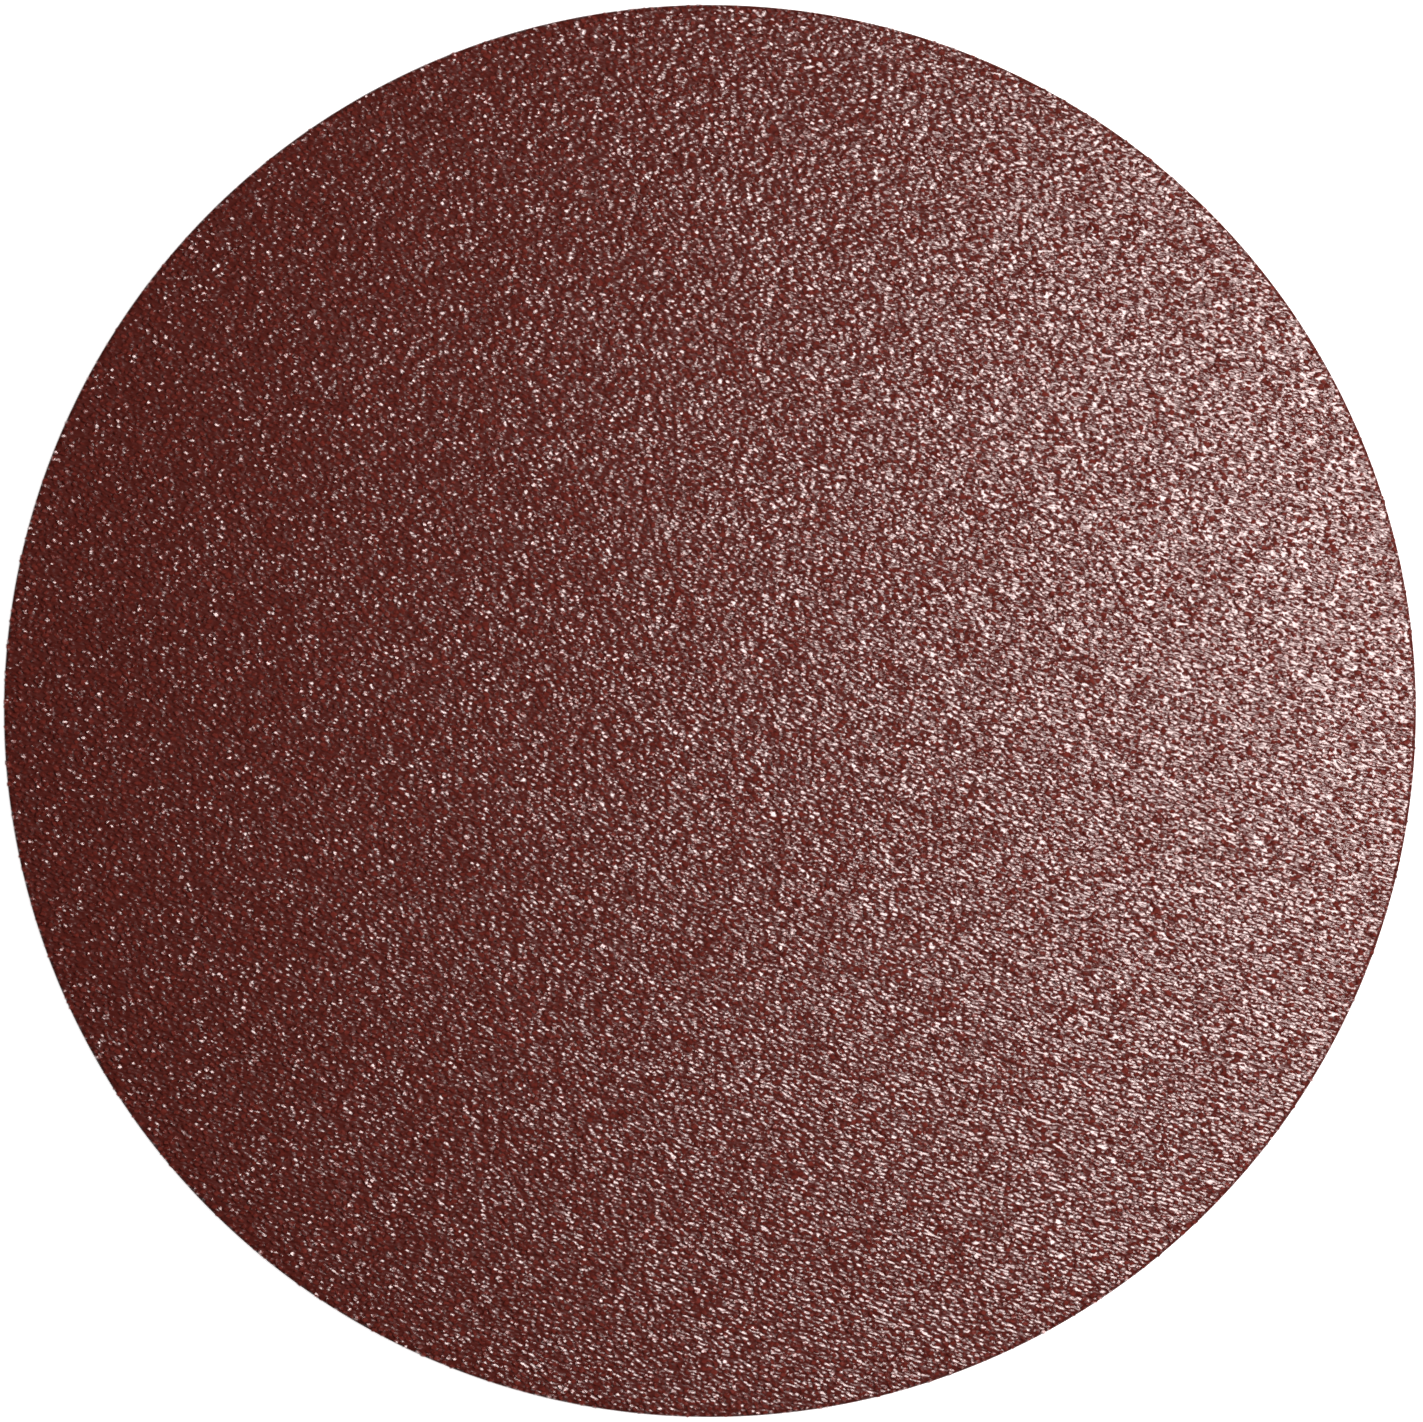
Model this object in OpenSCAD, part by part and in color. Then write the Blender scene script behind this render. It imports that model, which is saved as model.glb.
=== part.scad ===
// Fibre sanding disc, plain round, with no centre hole.
// A sheet of vulcanised fibre carries a resin bed that holds the grain. The coated sheet is cut
// with a round die, so the disc is one bonded piece and its form is its rim section, turned.
// It lies on its back with the grain up. The origin is the centre of the back face, +Z up.

/* [Disc] */
// Diameter across the cut rim of the fibre
disc_d = 125; // [50:1:235]

/* [Fibre backing] */
// Thickness of the fibre sheet
fibre_t = 0.8; // [0.6:0.05:1.2]
// Rounding of the back edge, where the die draws the fibre in
back_edge_r = 0.2; // [0.05:0.05:0.3]
// How far the cut wall leans in from the back to the front, where the fibre breaks through
wall_lean = 0.05; // [0:0.01:0.15]

/* [Resin bed] */
// Thickness of the resin that beds and ties the grain
resin_t = 0.25; // [0.1:0.05:0.5]
// How far the resin stands back from the front of the cut wall
resin_setback = 0.04; // [0.01:0.01:0.1]

/* [Grain] */
// How far the grain tips stand out of the resin
grain_h = 0.4; // [0.35:0.05:0.9]
// How far the outermost grain stands back from the edge of the resin
grain_setback = 0.06; // [0.01:0.01:0.2]
// Rounding of the grain's shoulder at the rim, where the die breaks the tips off
shoulder_r = 0.2; // [0.05:0.05:0.3]

/* [Hidden] */

disc_r = disc_d / 2;
fibre_front_r = disc_r - wall_lean;
resin_r = fibre_front_r - resin_setback;
grain_r = resin_r - grain_setback;
resin_top = fibre_t + resin_t;

// Facets round the disc and round a full small arc
turn_facets = 180;
arc_facets = 24;

// What a rounding of radius r takes off an outer top corner that lies at the origin. It runs on
// past the corner by the radius again, so that it cuts clean.
module corner_waste(r) {
    translate([-r, -r]) difference() {
        square(2 * r);
        circle(r, $fn = arc_facets);
    }
}

// Half section of the fibre: flat back, rounded back edge, and a wall that leans in a little
module fibre_section() {
    difference() {
        polygon([[0, 0], [disc_r, 0], [disc_r, back_edge_r], [fibre_front_r, fibre_t], [0, fibre_t]]);
        translate([disc_r, 0]) mirror([0, 1]) corner_waste(back_edge_r);
    }
}

// Half section of the resin bed, a low step on the fibre
module resin_section() {
    translate([0, fibre_t]) square([resin_r, resin_t]);
}

// Half section of the grain, taken up to its tips, with its shoulder broken off by the die
module grain_section() {
    translate([0, resin_top]) difference() {
        square([grain_r, grain_h]);
        translate([grain_r, grain_h]) corner_waste(shoulder_r);
    }
}

module sanding_disc() {
    color([0.44, 0.23, 0.21]) rotate_extrude($fn = turn_facets) {
        fibre_section();
        resin_section();
        grain_section();
    }
}

sanding_disc();
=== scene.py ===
# %% [markdown]
# A fibre sanding disc is one bonded piece in three layers. A sheet of vulcanised fibre, hard and
# a little under a millimetre thick, carries a bed of resin. The resin holds tens of thousands of
# crystals of grain, and a second coat of resin runs over them and ties them together. The disc is
# then cut out of the coated sheet with a round die.
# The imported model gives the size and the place. Everything below stays inside it. Lengths are in
# metres, as Blender keeps them, so a size in millimetres is multiplied by MM.

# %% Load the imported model
import math

import bpy
from mathutils import Matrix, Vector


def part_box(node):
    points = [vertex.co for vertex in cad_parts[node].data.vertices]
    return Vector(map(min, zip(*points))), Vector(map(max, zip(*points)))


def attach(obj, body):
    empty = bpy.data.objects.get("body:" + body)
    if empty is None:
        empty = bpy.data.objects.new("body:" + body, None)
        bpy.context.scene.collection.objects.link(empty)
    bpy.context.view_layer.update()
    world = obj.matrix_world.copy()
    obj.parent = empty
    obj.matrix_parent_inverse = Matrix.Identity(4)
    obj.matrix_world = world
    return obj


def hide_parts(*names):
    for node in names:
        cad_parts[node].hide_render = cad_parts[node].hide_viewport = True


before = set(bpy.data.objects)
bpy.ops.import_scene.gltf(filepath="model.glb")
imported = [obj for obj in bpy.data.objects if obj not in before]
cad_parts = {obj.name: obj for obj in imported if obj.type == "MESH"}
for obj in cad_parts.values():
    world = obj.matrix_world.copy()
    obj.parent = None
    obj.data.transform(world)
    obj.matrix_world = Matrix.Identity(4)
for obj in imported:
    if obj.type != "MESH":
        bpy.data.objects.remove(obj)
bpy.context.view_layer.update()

MM = 0.001
DISC = "sanding_disc"
ROOT = "root"
_, disc_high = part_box(DISC)
disc_r = max(disc_high.x, disc_high.y)
disc_t = disc_high.z

# %% [markdown]
# The layers repeat the sizes of the solid model's rim section. The die draws the back edge of the
# fibre in, and the cut wall leans in where the fibre breaks through. The resin stops a little short
# of the wall, and the outermost crystals are seated a little short of the edge of the resin. Each
# piece of the scene then sits where its layer does.

# %% Name the layers of the disc
FIBRE_T = 0.8 * MM
BACK_EDGE_R = 0.2 * MM
WALL_LEAN = 0.05 * MM
RESIN_T = 0.25 * MM
RESIN_SETBACK = 0.04 * MM
GRAIN_SETBACK = 0.06 * MM
SHOULDER_R = 0.2 * MM

fibre_front_r = disc_r - WALL_LEAN
resin_r = fibre_front_r - RESIN_SETBACK
grain_r = resin_r - GRAIN_SETBACK
resin_top = FIBRE_T + RESIN_T
print(f"fibre to {FIBRE_T / MM:.2f} mm, resin to {resin_top / MM:.2f} mm, tips to {disc_t / MM:.2f} mm")

# %% [markdown]
# Node trees are easier to read as arithmetic. A Wire is one output of a node, and adding or
# multiplying wires adds the Math nodes. The reflected forms let a plain number stand first, as in
# 1 - mask. The class serves the shaders and the geometry trees alike, because both take the same
# Math node.

# %% Write arithmetic on wires


class Wire:
    """One output of a node. Arithmetic on it adds Math nodes to the same tree."""

    def __init__(self, bench, socket):
        self.bench = bench
        self.socket = socket

    def math(self, operation, *terms):
        return self.bench.add("ShaderNodeMath", {"operation": operation}, dict(enumerate(terms)))

    def __add__(self, other):
        return self.math("ADD", self, other)

    def __sub__(self, other):
        return self.math("SUBTRACT", self, other)

    def __rsub__(self, other):
        return self.math("SUBTRACT", other, self)

    def __mul__(self, other):
        return self.math("MULTIPLY", self, other)

    def __truediv__(self, other):
        return self.math("DIVIDE", self, other)

    def __rtruediv__(self, other):
        return self.math("DIVIDE", other, self)

    def __pow__(self, other):
        return self.math("POWER", self, other)

    def above(self, limit):
        return self.math("GREATER_THAN", self, limit)

    def at_most(self, limit):
        return self.math("MINIMUM", self, limit)

    def at_least(self, limit):
        return self.math("MAXIMUM", self, limit)

    __radd__ = __add__
    __rmul__ = __mul__


# %% [markdown]
# A Bench wraps a tree and places any other node with one call: its type, its settings, and the
# values or wires of its sockets. The settings go first, because some of them decide which sockets
# the node shows. Written out by hand, each node would take four or five lines.

# %% Place nodes with one call


class Bench:
    """A node tree that is built one call a node."""

    def __init__(self, tree):
        self.tree = tree

    def add(self, kind, settings=None, sockets=None, out=0):
        node = self.tree.nodes.new(kind)
        for name, value in (settings or {}).items():
            if name == "stops":
                self.set_stops(node.color_ramp.elements, value)
            else:
                setattr(node, name, value)
        for key, value in (sockets or {}).items():
            socket = self.pick(node.inputs, key)
            if isinstance(value, Wire):
                self.tree.links.new(value.socket, socket)
            else:
                socket.default_value = value
        return Wire(self, self.pick(node.outputs, out))

    @staticmethod
    def pick(sockets, key):
        """A socket by its name, or by its number among those that the node's settings leave in use."""
        shown = [s for s in sockets if s.enabled]
        return shown[key] if isinstance(key, int) else next(s for s in shown if s.name == key)

    @staticmethod
    def set_stops(elements, stops):
        while len(elements) < len(stops):
            elements.new(1.0)
        for element, (place, colour) in zip(elements, stops):
            element.position = place
            element.color = colour


# %% [markdown]
# Four small helpers serve the materials. One starts an empty material and hands back its bench,
# one ends the tree in the material's output, one gives the place on the object that a pattern is
# laid out on, and one makes noise of a given size. Every pattern here runs in Object coordinates,
# so it is measured in metres on the disc and doesn't slide when the camera moves.

# %% Start and end a material


def new_material(name):
    material = bpy.data.materials.new(name)
    material.use_nodes = True
    material.node_tree.nodes.clear()
    return material, Bench(material.node_tree)


def show(bench, shader):
    out = bench.tree.nodes.new("ShaderNodeOutputMaterial")
    bench.tree.links.new(shader.socket, out.inputs["Surface"])


def object_place(bench):
    return bench.add("ShaderNodeTexCoord", None, None, "Object")


def noise(bench, place, size, detail=0.0):
    """Soft noise whose lumps are about as wide as the size given."""
    return bench.add(
        "ShaderNodeTexNoise", None, {"Vector": place, "Scale": 1 / size, "Detail": detail}
    )


# %% [markdown]
# The face is dark red-brown and glossy. The colour lies in the resin and the crystals, and the
# gloss in the second coat, which follows every crystal and ripples between them. Under one lamp
# each small slope that faces the right way throws a white glint, and those glints are what the eye
# reads as grit. A painted pattern of white dots would stay put when the light moves. So the
# ripples are a height that bends the normal, and the glints come from the lamp.
# The coat is laid on by rollers while the sheet runs through the machine, so its ripples are
# drawn out a little along the sheet. A Mapping node stretches and turns the noise to match. The
# crystals take that same turn below.

# %% Mix the resin coat
WEB_TURN = math.radians(165)
WEB_STRETCH = 2.3
RIPPLE_W = 0.24 * MM
PATCH_W = 2.5 * MM
PATCH_SPREAD = (0.75, 1.25)
COAT_IOR = 1.55
COAT_ROUGHNESS = 0.20
COAT_TINT = (1.0, 0.87, 0.845, 1)


def coat_material(name, tones, ripple_h):
    """Glossy red-brown resin. The tones run from the deepest crystal to the palest."""
    material, bench = new_material(name)
    web = bench.add(
        "ShaderNodeMapping",
        {"vector_type": "TEXTURE"},
        {
            "Vector": object_place(bench),
            "Rotation": (0, 0, WEB_TURN),
            "Scale": (WEB_STRETCH, 1, 1),
        },
    )
    tone = bench.add("ShaderNodeAttribute", {"attribute_name": "tone"}, None, "Fac")
    stops = [(k / (len(tones) - 1), (*tones[k], 1)) for k in range(len(tones))]
    colour = bench.add("ShaderNodeValToRGB", {"stops": stops}, {"Fac": tone})
    calm, lively = PATCH_SPREAD
    patch = noise(bench, web, PATCH_W, 1.0) * (lively - calm) + calm
    ripple = noise(bench, web, RIPPLE_W) * patch * ripple_h
    normal = bench.add("ShaderNodeBump", None, {"Distance": 1.0, "Height": ripple})
    shader = bench.add(
        "ShaderNodeBsdfPrincipled",
        None,
        {
            "Base Color": colour,
            "Roughness": COAT_ROUGHNESS,
            "IOR": COAT_IOR,
            "Specular Tint": COAT_TINT,
            "Normal": normal,
        },
    )
    show(bench, shader)
    return material


# %% [markdown]
# The crystals differ a little in tone, because the grain is a natural mix and the coat is thicker
# on some than on others. Each crystal carries a number between 0 and 1 in the attribute "tone",
# and the ramp turns it into a brown. The bed between the crystals is a somewhat deeper brown. Part
# of that is the resin's own colour, and part is painted shade that stands for the shadow between the
# crystals. The two browns are still close, so the face reads as one dark surface with glints on it.

# %% Choose the browns
GRAIN_TONES = ((0.082, 0.0118, 0.0083), (0.104, 0.0154, 0.0108), (0.123, 0.0192, 0.0138))
# The bed's browns are darker than the grain's: partly the resin's own colour, partly painted shade
# between the crystals.
BED_TONES_WITH_PAINTED_SHADE = ((0.058, 0.0083, 0.0058), (0.072, 0.0104, 0.0073), (0.091, 0.0136, 0.0098))
GRAIN_RIPPLE = 0.115 * MM
BED_RIPPLE = 0.122 * MM
grain_material = coat_material("resin_coated_grain", GRAIN_TONES, GRAIN_RIPPLE)
bed_material = coat_material("size_coat_resin", BED_TONES_WITH_PAINTED_SHADE, BED_RIPPLE)
print("coats:", grain_material.name, "and", bed_material.name)

# %% [markdown]
# Vulcanised fibre is cotton paper that is soaked, pressed into one mass and rolled flat. It is
# dull, hard and faintly mottled, with a fine tooth from the rolls. On the cut wall the die leaves
# a smooth band where it sheared and a rougher one where the fibre broke through. The height over
# the back face tells the two apart, so the roughness is mixed by it.

# %% Make the vulcanised fibre
FIBRE_DARK = (0.115, 0.035, 0.027, 1)
FIBRE_LIGHT = (0.165, 0.052, 0.040, 1)
SHEAR_TOP = 0.45 * MM
BREAK_BAND = 0.1 * MM
SHEAR_ROUGHNESS = 0.42
BREAK_ROUGHNESS = 0.7
MOTTLE_W = 3 * MM
EDGE_W = 0.6 * MM
TOOTH_W, TOOTH_H = 0.25 * MM, 0.01 * MM
TORN_W, TORN_H = 0.12 * MM, 0.03 * MM


def fibre_finish():
    material, bench = new_material("vulcanised_fibre")
    place = object_place(bench)
    mottle = noise(bench, place, MOTTLE_W, 6.0)
    colour = bench.add(
        "ShaderNodeValToRGB", {"stops": [(0.35, FIBRE_DARK), (0.7, FIBRE_LIGHT)]}, {"Fac": mottle}
    )
    height = bench.add("ShaderNodeSeparateXYZ", None, {0: place}, 2)
    edge = noise(bench, place, EDGE_W, 2.0) * BREAK_BAND
    broken = ((height + edge - SHEAR_TOP) / BREAK_BAND).at_least(0.0).at_most(1.0)
    roughness = broken * (BREAK_ROUGHNESS - SHEAR_ROUGHNESS) + SHEAR_ROUGHNESS
    tooth = noise(bench, place, TOOTH_W, 4.0) * TOOTH_H
    torn = noise(bench, place, TORN_W, 2.0) * broken * TORN_H
    normal = bench.add("ShaderNodeBump", None, {"Distance": 1.0, "Height": tooth + torn})
    shader = bench.add(
        "ShaderNodeBsdfPrincipled",
        None,
        {"Base Color": colour, "Roughness": roughness, "Normal": normal},
    )
    show(bench, shader)
    return material


fibre_material = fibre_finish()
print("fibre finish:", len(fibre_material.node_tree.nodes), "nodes")

# %% [markdown]
# The fibre sheet is a round plate whose form is its rim: a rounded back edge and a wall that leans
# in. Turning that half section round the axis gives the whole plate as one closed mesh. A cylinder
# with a bevel would round both edges alike, and the real one is rounded only where the die went in.
# The helpers here also serve the pieces that come later.

# %% Turn a profile


def mesh_object(name, points, faces):
    mesh = bpy.data.meshes.new(name)
    mesh.from_pydata([tuple(p) for p in points], [], [tuple(f) for f in faces])
    mesh.validate()
    mesh.update()
    obj = bpy.data.objects.new(name, mesh)
    bpy.context.scene.collection.objects.link(obj)
    return obj


def circle(radius, z, steps):
    turns = [math.tau * k / steps for k in range(steps)]
    return [(radius * math.cos(a), radius * math.sin(a), z) for a in turns]


def turned(name, profile, steps):
    """A closed solid of revolution. The profile runs from the axis to the axis, back face first."""
    rings = profile[1:-1]
    points = [(0, 0, profile[0][1])]
    for radius, z in rings:
        points += circle(radius, z, steps)
    points.append((0, 0, profile[-1][1]))
    top = len(points) - 1
    last = 1 + (len(rings) - 1) * steps
    faces = []
    for i in range(steps):
        j = (i + 1) % steps
        faces.append((0, 1 + j, 1 + i))
        for low in range(1, last, steps):
            faces.append((low + i, low + j, low + steps + j, low + steps + i))
        faces.append((last + i, last + j, top))
    return mesh_object(name, points, faces)


# %% [markdown]
# The profile starts on the axis at the back face, rounds the back edge in a few short steps, climbs
# the leaning wall and ends on the axis at the front. A few hundred steps round the rim keep the
# outline smooth at any size on the screen.

# %% Cut the fibre sheet
EDGE_STEPS = 5
RIM_STEPS = 720
back_edge = [
    (disc_r - BACK_EDGE_R * (1 - math.sin(a)), BACK_EDGE_R * (1 - math.cos(a)))
    for a in (math.radians(90 * k / EDGE_STEPS) for k in range(EDGE_STEPS + 1))
]
fibre_profile = [(0, 0), *back_edge, (fibre_front_r, FIBRE_T), (0, FIBRE_T)]
fibre = turned("fibre_backing", fibre_profile, RIM_STEPS)
fibre.data.materials.append(fibre_material)
print("fibre:", len(fibre.data.polygons), "faces")

# %% [markdown]
# Every tree of geometry nodes gets its sizes through named inputs. The first helper makes a tree
# with a mesh in, a mesh out and the inputs, and hands back one wire for each. The second ends a
# tree in Realize Instances and Set Material, so that copies become real corners and faces.

# %% Start and end a tree of geometry nodes
SOCKET_KINDS = {
    float: "NodeSocketFloat",
    int: "NodeSocketInt",
    bpy.types.Object: "NodeSocketObject",
    bpy.types.Material: "NodeSocketMaterial",
}


def geometry_tree(name, inputs):
    tree = bpy.data.node_groups.new(name, "GeometryNodeTree")
    tree.interface.new_socket("Mesh", in_out="INPUT", socket_type="NodeSocketGeometry")
    tree.interface.new_socket("Mesh", in_out="OUTPUT", socket_type="NodeSocketGeometry")
    for label, kind in inputs.items():
        tree.interface.new_socket(label, in_out="INPUT", socket_type=SOCKET_KINDS[kind])
    bench = Bench(tree)
    source = tree.nodes.new("NodeGroupInput")
    return bench, {s.name: Wire(bench, s) for s in source.outputs if s.name}


def finish_tree(bench, geometry, material):
    real = bench.add("GeometryNodeRealizeInstances", None, {"Geometry": geometry})
    dressed = bench.add("GeometryNodeSetMaterial", None, {"Geometry": real, "Material": material})
    sink = bench.tree.nodes.new("NodeGroupOutput")
    bench.tree.links.new(dressed.socket, sink.inputs[0])


# %% [markdown]
# A tree runs as a modifier. Its inputs are set before the object is first evaluated, each by the
# socket's identifier, because a name isn't unique. The result is then turned into a plain mesh on
# an object of its own, and the modifier comes off, so that only a mesh is left.

# %% Run a tree and keep its mesh


def run_tree(bench, obj, values, name):
    modifier = obj.modifiers.new(name, "NODES")
    modifier.node_group = bench.tree
    for item in bench.tree.interface.items_tree:
        if item.in_out == "INPUT" and item.name in values:
            modifier[item.identifier] = values[item.name]
    graph = bpy.context.evaluated_depsgraph_get()
    mesh = bpy.data.meshes.new_from_object(obj.evaluated_get(graph))
    obj.modifiers.remove(modifier)
    mesh.name = name
    result = bpy.data.objects.new(name, mesh)
    bpy.context.scene.collection.objects.link(result)
    return result


# %% [markdown]
# Grain falls on the wet resin at random, but two crystals can't share a place. A Poisson scatter
# keeps that rule: points at random, none nearer to another than the pitch. A square or spiral grid
# would show as rows. The seats lie a little above the level of the resin at the rim, because the
# resin stands higher between the crystals than at the cut edge.

# %% Scatter the grain's seats
GRAIN_PITCH = 0.45 * MM
BED_RISE = 0.08 * MM
SEATS_PER_M2 = 2.4e7
SEED = 7


def seat_tree():
    bench, wires = geometry_tree(
        "seat_the_grain", {"Pitch": float, "Seed": int, "Material": bpy.types.Material}
    )
    points = bench.add(
        "GeometryNodeDistributePointsOnFaces",
        {"distribute_method": "POISSON"},
        {
            "Mesh": wires["Mesh"],
            "Distance Min": wires["Pitch"],
            "Density Max": SEATS_PER_M2,
            "Seed": wires["Seed"],
        },
    )
    seats = bench.add("GeometryNodePointsToVertices", None, {"Points": points})
    finish_tree(bench, seats, wires["Material"])
    return bench


def flat_disc(name, radius, z, steps):
    points = [(0, 0, z), *circle(radius, z, steps)]
    return mesh_object(name, points, [(0, 1 + i, 1 + (i + 1) % steps) for i in range(steps)])


sheet = flat_disc("seat_sheet", grain_r, resin_top + BED_RISE, RIM_STEPS)
seat_values = {"Pitch": GRAIN_PITCH, "Seed": SEED, "Material": bed_material}
seats = run_tree(seat_tree(), sheet, seat_values, "grain_seats")
print("grain:", len(seats.data.vertices), "crystals")

# %% [markdown]
# One crystal is a blunt block with a broken top. There are tens of thousands of them, so the blank
# has only 9 corners and 14 triangles: four corners on top, five at the foot. Each copy gets its
# own width, height, lean and turn, and then each of its corners is moved a little, so no two end
# up alike.

# %% Cut one blank crystal
TOP_CORNERS = (0.4, 2.0, 3.5, 5.1)
TOP_R = 0.62
FOOT_CORNERS = 5
BLANK_SIDES = (
    (4, 5, 0), (5, 1, 0), (5, 6, 1), (6, 2, 1), (6, 7, 2),
    (7, 3, 2), (7, 8, 3), (8, 0, 3), (8, 4, 0),
)


def crystal_blank():
    points = [(math.cos(a) * TOP_R, math.sin(a) * TOP_R, 0.5) for a in TOP_CORNERS]
    points += circle(1.0, -0.5, FOOT_CORNERS)
    ends = [(0, 1, 2), (0, 2, 3), (8, 7, 6), (8, 6, 5), (8, 5, 4)]
    return mesh_object("crystal_blank", points, [*ends, *BLANK_SIDES])


blank = crystal_blank()
print("blank:", len(blank.data.vertices), "corners,", len(blank.data.polygons), "triangles")

# %% [markdown]
# The tree that sets the grain runs on the seats. It is split into short steps, and each step is a
# function that takes the bench and hands back a wire. The disc is made in quarters, because one
# mesh of all the grain would be too heavy to handle. The sign of x and y tells a seat's quarter.

# %% Pick the seats of one quarter


def split_xyz(bench, vector):
    return [bench.add("ShaderNodeSeparateXYZ", None, {0: vector}, k) for k in range(3)]


def join_xyz(bench, x, y, z):
    return bench.add("ShaderNodeCombineXYZ", None, {0: x, 1: y, 2: z})


def quarter_seats(bench, seats_in, quarter):
    x, y, _ = split_xyz(bench, bench.add("GeometryNodeInputPosition"))
    number = x.above(0.0) + y.above(0.0) * 2
    mine = bench.add(
        "FunctionNodeCompare",
        {"data_type": "FLOAT", "operation": "EQUAL"},
        {"A": number, "B": float(quarter), "Epsilon": 0.1},
    )
    return bench.add(
        "GeometryNodeSeparateGeometry",
        {"domain": "POINT"},
        {"Geometry": seats_in, "Selection": mine},
    )


# %% [markdown]
# A crystal leans a little off upright, and the rollers comb most of them along the sheet. The sum
# of three random numbers gives a bell-shaped spread: small leans are common and large ones rare,
# which a single random number wouldn't give. Every random number has a draw number of its own,
# which is added to the seed. Two that shared one would go up and down together.

# %% Lean, turn and size each crystal
YAW_SPREAD = 0.35
WIDTH_SPREAD = (0.7, 1.25)
LONG_SIDE = 1.15
SHORT_SIDE = (0.55, 0.95)
HEIGHT_SPREAD = (0.6, 1.15)
DRAWS = {
    "lean_x": 10,
    "lean_y": 20,
    "yaw": 30,
    "width": 40,
    "across": 50,
    "height": 60,
    "tone": 70,
    "ragged": 80,
}


def chance(bench, seed, low, high, draw):
    return bench.add(
        "FunctionNodeRandomValue",
        {"data_type": "FLOAT"},
        {"Min": low, "Max": high, "Seed": seed + draw},
    )


def bell(bench, seed, draw):
    first, second, third = (chance(bench, seed, -1.0, 1.0, draw + k) for k in range(3))
    return first + second + third


def lean_and_turn(bench, wires):
    seed, tilt = wires["Seed"], wires["Tilt"]
    yaw = bell(bench, seed, DRAWS["yaw"]) * YAW_SPREAD + WEB_TURN
    lean_x = bell(bench, seed, DRAWS["lean_x"]) * tilt
    lean_y = bell(bench, seed, DRAWS["lean_y"]) * tilt
    angles = join_xyz(bench, lean_x, lean_y, yaw)
    return bench.add("FunctionNodeEulerToRotation", None, {0: angles})


def crystal_size(bench, wires):
    seed = wires["Seed"]
    width = wires["Width"] * chance(bench, seed, *WIDTH_SPREAD, DRAWS["width"])
    across = width * chance(bench, seed, *SHORT_SIDE, DRAWS["across"])
    height = wires["Height"] * chance(bench, seed, *HEIGHT_SPREAD, DRAWS["height"])
    return join_xyz(bench, width * LONG_SIDE, across, height)


# %% [markdown]
# Instance on Points sets a copy of the blank on every seat and takes the turn and the size as
# fields, so each copy gets its own. The tone is stored on the copies while they are still whole,
# one number a crystal. Then they are made real, so that their corners can be moved.

# %% Copy the blank to every seat


def placed_crystals(bench, wires, quarter):
    tone = chance(bench, wires["Seed"], 0.0, 1.0, DRAWS["tone"])
    shape = bench.add("GeometryNodeObjectInfo", None, {"Object": wires["Blank"]}, "Geometry")
    placed = bench.add(
        "GeometryNodeInstanceOnPoints",
        None,
        {
            "Points": quarter_seats(bench, wires["Mesh"], quarter),
            "Instance": shape,
            "Rotation": lean_and_turn(bench, wires),
            "Scale": crystal_size(bench, wires),
        },
    )
    toned = bench.add(
        "GeometryNodeStoreNamedAttribute",
        {"data_type": "FLOAT", "domain": "INSTANCE"},
        {"Geometry": placed, "Name": "tone", "Value": tone},
    )
    return bench.add("GeometryNodeRealizeInstances", None, {"Geometry": toned})


# %% [markdown]
# Two more moves finish the crystals. The first shifts every corner by a random step, which breaks
# the blank's regular form. The second does what the die does at the rim: it cuts the grain off on
# the line of the disc's outline and breaks the tips down to a rounded shoulder. A corner outside
# the line is drawn in to it, and a corner above the shoulder is brought down to it. In places the
# die chips more of the grain away, and there a soft noise draws the line in by a tenth of a
# millimetre or so.

# %% Break the corners and trim the rim
RAGGED_REACH = (1.0, 1.0, 0.5)
CHIP_W = 1.0 * MM
CHIP_START = 0.45


def ragged(bench, crystals, wires):
    x, y, z = RAGGED_REACH
    step = bench.add(
        "FunctionNodeRandomValue",
        {"data_type": "FLOAT_VECTOR"},
        {"Min": (-x, -y, -z), "Max": (x, y, z), "Seed": wires["Seed"] + DRAWS["ragged"]},
    )
    shift = bench.add(
        "ShaderNodeVectorMath", {"operation": "SCALE"}, {0: step, "Scale": wires["Ragged"]}
    )
    return bench.add("GeometryNodeSetPosition", None, {"Geometry": crystals, "Offset": shift})


def die_cut(bench, crystals, wires):
    corner = bench.add("GeometryNodeInputPosition")
    x, y, z = split_xyz(bench, corner)
    radius = (x * x + y * y) ** 0.5
    chip = (noise(bench, corner, CHIP_W, 1.0) - CHIP_START).at_least(0.0)
    rim = wires["Rim"] - chip * wires["Chip"]
    shrink = (rim / radius).at_most(1.0)
    shoulder = wires["Shoulder"]
    past = (radius * shrink - rim + shoulder).at_least(0.0)
    ceiling = wires["Top"] - shoulder + (shoulder * shoulder - past * past).at_least(0.0) ** 0.5
    place = join_xyz(bench, x * shrink, y * shrink, z.at_most(ceiling))
    return bench.add("GeometryNodeSetPosition", None, {"Geometry": crystals, "Position": place})


# %% [markdown]
# Now the steps are put together. Every size of the grain goes in through a named input, so a finer
# grit or a flatter lean is one number here. The crystals stay flat-shaded: a broken crystal has
# sharp edges, and smooth shading would make a pebble of it.

# %% Set the grain, a quarter at a time
GRAIN_INPUTS = {
    "Blank": bpy.types.Object,
    "Width": float,
    "Height": float,
    "Tilt": float,
    "Ragged": float,
    "Rim": float,
    "Chip": float,
    "Shoulder": float,
    "Top": float,
    "Seed": int,
    "Material": bpy.types.Material,
}
grain_values = {
    "Blank": blank,
    "Width": 0.30 * MM,
    "Height": 0.42 * MM,
    "Tilt": 0.20,
    "Ragged": 0.045 * MM,
    "Rim": disc_r,
    "Chip": 0.9 * MM,
    "Shoulder": SHOULDER_R,
    "Top": disc_t,
    "Seed": SEED,
    "Material": grain_material,
}


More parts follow.
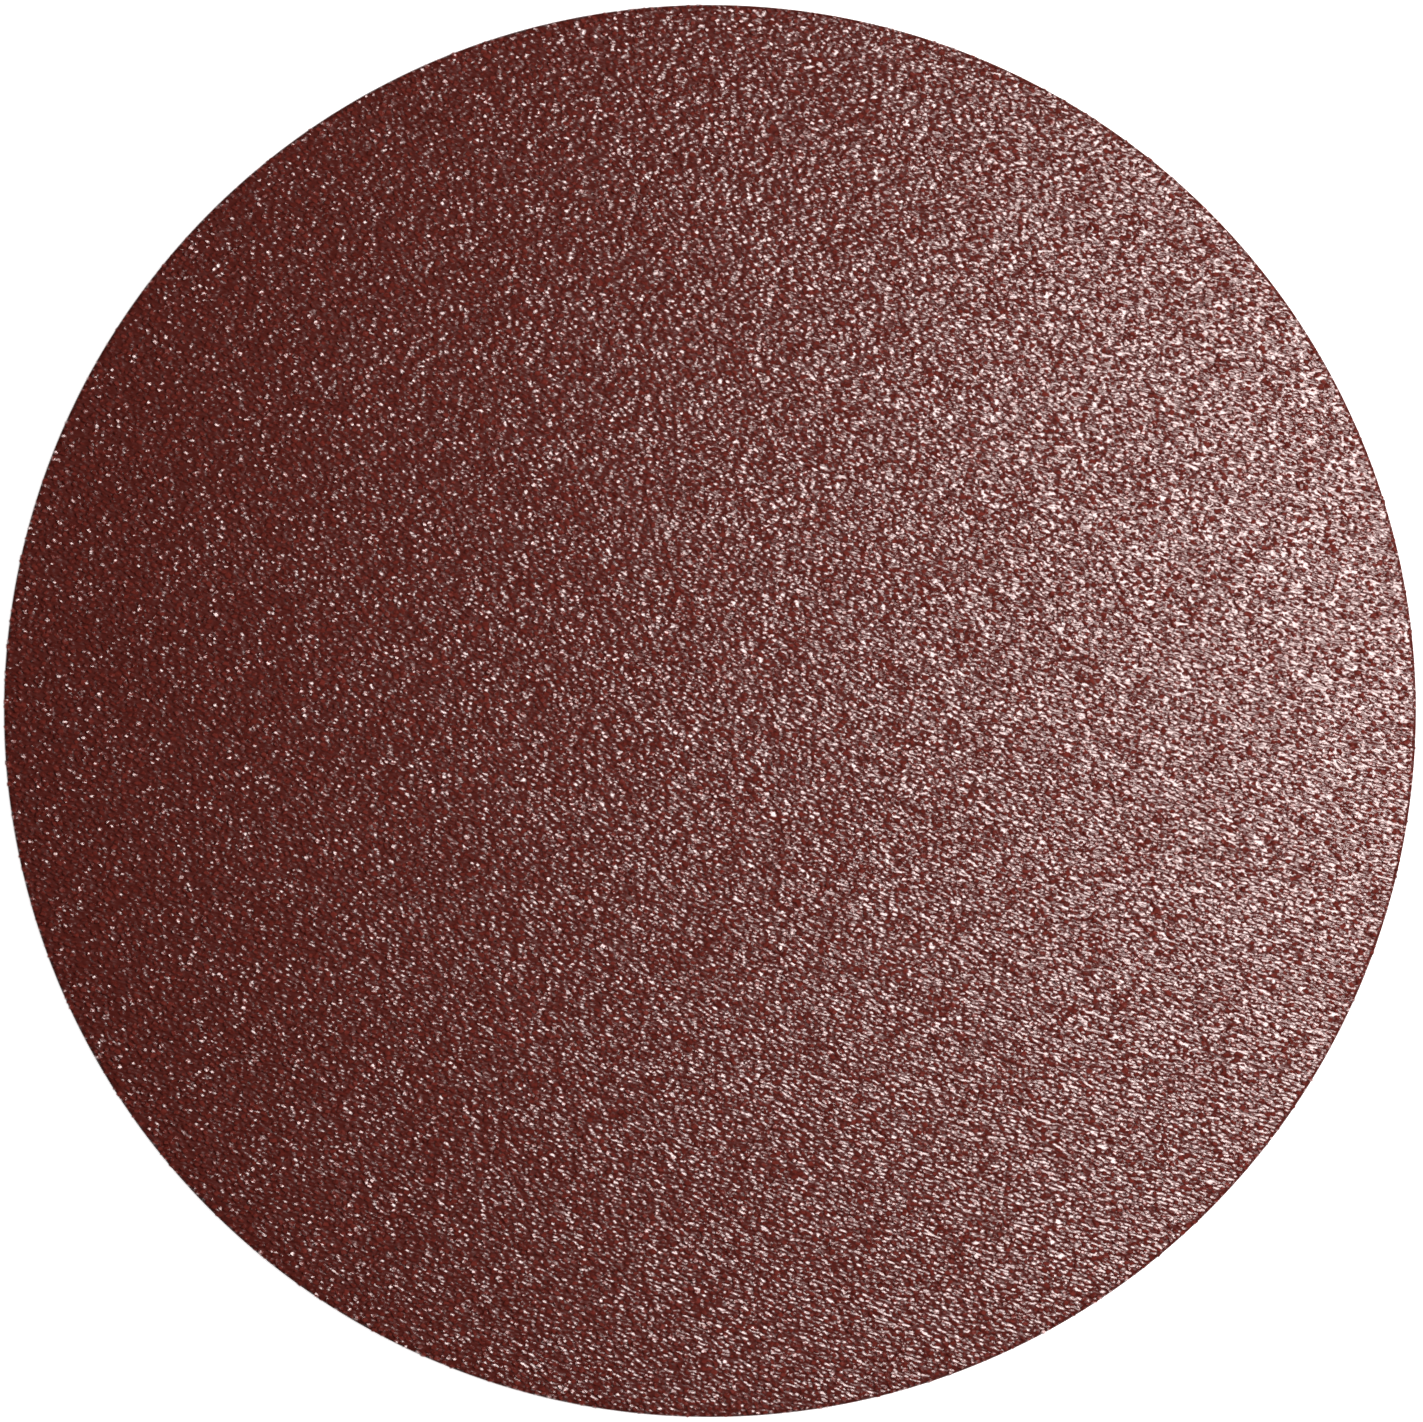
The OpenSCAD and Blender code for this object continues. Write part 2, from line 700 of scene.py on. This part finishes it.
def grain_tree(quarter):
    bench, wires = geometry_tree(f"set_the_grain_{quarter + 1}", GRAIN_INPUTS)
    crystals = placed_crystals(bench, wires, quarter)
    cut = die_cut(bench, ragged(bench, crystals, wires), wires)
    flat = bench.add("GeometryNodeSetShadeSmooth", None, {"Geometry": cut, "Shade Smooth": False})
    finish_tree(bench, flat, wires["Material"])
    return bench


grains = []
for quarter in range(4):
    piece = run_tree(grain_tree(quarter), seats, grain_values, f"grain_quarter_{quarter + 1}")
    print(piece.name, len(piece.data.polygons), "triangles")
    grains.append(piece)

# %% [markdown]
# The resin bed is a thin layer that climbs a little round every crystal and waves between them. It
# starts as a closed disc whose top is cut into even triangles, so that it can be shaped anywhere.
# Rings of 6, 12, 18 and so on corners keep the triangles alike from the middle to the rim, where a
# grid would leave a ragged edge and a fan would crowd the centre.

# %% Lay out an even disc
BED_RINGS = 170
BED_SINK = 0.02 * MM


def ring_faces(inner, outer, k):
    """Triangles between the ring of 6 (k - 1) corners and the ring of 6 k corners round it."""
    n_in, n_out = max(6 * (k - 1), 1), 6 * k
    faces = []
    for side in range(6):
        for j in range(k):
            a = outer + side * k + j
            b = outer + (side * k + j + 1) % n_out
            c = inner + (side * (k - 1) + j) % n_in
            faces.append((a, b, c))
            if j < k - 1:
                d = inner + (side * (k - 1) + j + 1) % n_in
                faces.append((b, d, c))
    return faces


def even_disc(name, radius, top, foot, rings):
    points = [(0.0, 0.0, top)]
    faces = []
    inner = 0
    for k in range(1, rings + 1):
        outer = len(points)
        points += circle(radius * k / rings, top, 6 * k)
        faces += ring_faces(inner, outer, k)
        inner = outer
    steps = 6 * rings
    low = len(points)
    points += circle(radius, foot, steps)
    points.append((0.0, 0.0, foot))
    for i in range(steps):
        j = (i + 1) % steps
        faces += [(inner + i, low + i, low + j), (inner + i, low + j, inner + j)]
        faces.append((low + steps, low + j, low + i))
    return mesh_object(name, points, faces)


bed_blank = even_disc("bed_blank", resin_r, resin_top, FIBRE_T - BED_SINK, BED_RINGS)
print("bed blank:", len(bed_blank.data.polygons), "triangles")

# %% [markdown]
# The tree that pours the bed lifts the top sheet. Near a seat it adds a small climb, found with
# the distance to the nearest seat, and over the whole sheet a slow wave. Towards the rim the lift
# dies away, because the resin thins out to the cut edge. The foot of the disc stays where it is,
# bedded in the fibre.

# %% Pour the resin bed
BED_INPUTS = {
    "Seats": bpy.types.Object,
    "Climb": float,
    "Reach": float,
    "Wave": float,
    "Rise": float,
    "Rim": float,
    "Fade": float,
    "Material": bpy.types.Material,
}
bed_values = {
    "Seats": seats,
    "Climb": 0.02 * MM,
    "Reach": 0.4 * MM,
    "Wave": 0.12 * MM,
    "Rise": BED_RISE - 0.05 * MM,
    "Rim": resin_r,
    "Fade": 0.7 * MM,
    "Material": bed_material,
}
WAVE_W = 0.9 * MM


def bed_tree():
    bench, wires = geometry_tree("pour_the_bed", BED_INPUTS)
    seats_in = bench.add("GeometryNodeObjectInfo", None, {"Object": wires["Seats"]}, "Geometry")
    near = bench.add("GeometryNodeProximity", {"target_element": "POINTS"}, {0: seats_in}, "Distance")
    place = bench.add("GeometryNodeInputPosition")
    x, y, z = split_xyz(bench, place)
    climb = (1 - near / wires["Reach"]).at_least(0.0) ** 2 * wires["Climb"]
    wave = (noise(bench, place, WAVE_W, 1.0) - 0.5) * wires["Wave"]
    from_rim = wires["Rim"] - (x * x + y * y) ** 0.5
    fade = (from_rim / wires["Fade"]).at_least(0.0).at_most(1.0)
    lift = (climb + wave + wires["Rise"]) * fade * z.above(FIBRE_T)
    shift = join_xyz(bench, 0.0, 0.0, lift)
    poured = bench.add("GeometryNodeSetPosition", None, {"Geometry": wires["Mesh"], "Offset": shift})
    smooth = bench.add("GeometryNodeSetShadeSmooth", None, {"Geometry": poured, "Shade Smooth": True})
    finish_tree(bench, smooth, wires["Material"])
    return bench


bed = run_tree(bed_tree(), bed_blank, bed_values, "resin_bed")
print("resin bed:", len(bed.data.polygons), "triangles")

# %% [markdown]
# The sheet, the seats and the two blanks have done their work and go. What is left is hung on the
# frame: each piece rides with the root, and the plain solid is hidden, because these pieces stand
# in its place.

# %% Hang the pieces on the frame
for helper in (sheet, seats, blank, bed_blank):
    bpy.data.objects.remove(helper)
for piece in (fibre, bed, *grains):
    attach(piece, ROOT)
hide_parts(DISC)
print("pieces:", ", ".join(piece.name for piece in (fibre, bed, *grains)))

# %% [markdown]
# The disc is shown cut out on white, so the floor is plain and pale. It glows by itself, which
# keeps it white however the lamps are set, and it is rough enough to show no reflection.

# %% Lay the floor
FLOOR_R = 2.0
FLOOR_STEPS = 64
FLOOR_GLOW = 0.97
FLOOR_GREY = (0.85, 0.85, 0.85, 1)
FLOOR_ROUGHNESS = 0.9
WHITE = (1, 1, 1, 1)
floor = flat_disc("floor", FLOOR_R, 0.0, FLOOR_STEPS)
floor_material, floor_bench = new_material("pale_floor")
floor_shader = floor_bench.add(
    "ShaderNodeBsdfPrincipled",
    None,
    {
        "Base Color": FLOOR_GREY,
        "Roughness": FLOOR_ROUGHNESS,
        "Emission Color": WHITE,
        "Emission Strength": FLOOR_GLOW,
    },
)
show(floor_bench, floor_shader)
floor.data.materials.append(floor_material)
print("floor:", 2 * FLOOR_R, "m across")

# %% [markdown]
# The camera looks straight down. The disc fills the frame to within a few pixels of its edge, and
# the sizes below say where its middle lies and how large it is, in pixels. The camera stands over
# the middle of the frame, and the lens follows from the height and the width in view. The height
# counts from the widest ring of the fibre, which is what the radius in pixels is measured on.

# %% Set the camera
FRAME_W, FRAME_H = 1423, 1422
DISC_PX = (710.1, 710.9)
DISC_R_PX = 706.1
CAMERA_H = 0.6
NEAREST_SEEN = 0.01
metres_per_px = disc_r / DISC_R_PX
camera_data = bpy.data.cameras.new("camera")
camera = bpy.data.objects.new("camera", camera_data)
bpy.context.scene.collection.objects.link(camera)
camera.location = (
    (FRAME_W / 2 - DISC_PX[0]) * metres_per_px,
    -(FRAME_H / 2 - DISC_PX[1]) * metres_per_px,
    CAMERA_H + BACK_EDGE_R,
)
camera_data.lens = camera_data.sensor_width * CAMERA_H / (FRAME_W * metres_per_px)
camera_data.clip_start = NEAREST_SEEN
bpy.context.scene.camera = camera
print(f"lens {camera_data.lens:.0f} mm, {metres_per_px / MM:.4f} mm a pixel")

# %% [markdown]
# A softbox is a lamp behind a white sheet, and an area light does the same. Its power is given here
# as the brightness of the sheet, so that a box can grow or shrink without growing dim or bright.
# It is hidden from the camera. The pixel filter is set a little wide, because the glints in a
# photograph are soft.

# %% Build a softbox
PIXEL_FILTER = 2.0
scene = bpy.context.scene
scene.cycles.filter_width = PIXEL_FILTER
scene.view_settings.view_transform = "Standard"


def softbox(name, place, size, radiance, aim, turn, colour):
    """A rectangular light. Its long side lies at the angle turn from +X, seen from above."""
    data = bpy.data.lights.new(name, "AREA")
    data.shape = "RECTANGLE"
    data.size, data.size_y = size
    data.energy = radiance * math.pi * size[0] * size[1]
    data.color = colour
    back = (Vector(place) - Vector(aim)).normalized()
    along = Vector((math.cos(turn), math.sin(turn), 0.0))
    side = back.cross(along).normalized()
    light = bpy.data.objects.new(name, data)
    axes = Matrix((side.cross(back), side, back)).transposed().to_4x4()
    light.matrix_world = Matrix.Translation(place) @ axes
    light.visible_camera = False
    scene.collection.objects.link(light)
    print(f"{name}: {data.energy:.2f} W")
    return light


# %% [markdown]
# The face is brightest at the right and dark at the left, with small hard glints. So the key lamp
# is a narrow box that hangs up at the right: few slopes at the left face it, and many at the
# right. A broad dim box beside it fills the gloss between the glints. A ring of lamps would light
# all slopes alike and leave the grain looking flat.

# %% Hang the lamps
softbox(
    "key",
    place=(0.165, 0.02, 0.33),
    size=(0.26, 0.10),
    radiance=31.5,
    aim=(0.20, 0.0, 0.0),
    turn=math.radians(160),
    colour=(1.0, 0.965, 0.965),
)
softbox(
    "window",
    place=(0.11, 0.02, 0.34),
    size=(0.22, 0.16),
    radiance=2.5,
    aim=(0.06, 0.0, 0.0),
    turn=math.radians(90),
    colour=(0.92, 0.95, 0.96),
)

# %% [markdown]
# The room behind the lamps is nearly dark, so that the dark side of the disc stays dark. The
# camera alone sees it white, as a cut-out on white has it.

# %% Light the room
ROOM_GLOW = 0.03
world = bpy.data.worlds.new("studio")
scene.world = world
world.use_nodes = True
world.node_tree.nodes.clear()
room = Bench(world.node_tree)
eye = room.add("ShaderNodeLightPath", None, None, "Is Camera Ray")
glow = room.add("ShaderNodeBackground", None, {"Color": WHITE, "Strength": ROOM_GLOW})
white = room.add("ShaderNodeBackground", None, {"Color": WHITE, "Strength": 1.0})
both = room.add("ShaderNodeMixShader", None, {0: eye, 1: glow, 2: white})
world_out = world.node_tree.nodes.new("ShaderNodeOutputWorld")
world.node_tree.links.new(both.socket, world_out.inputs["Surface"])
print("room glow:", ROOM_GLOW)
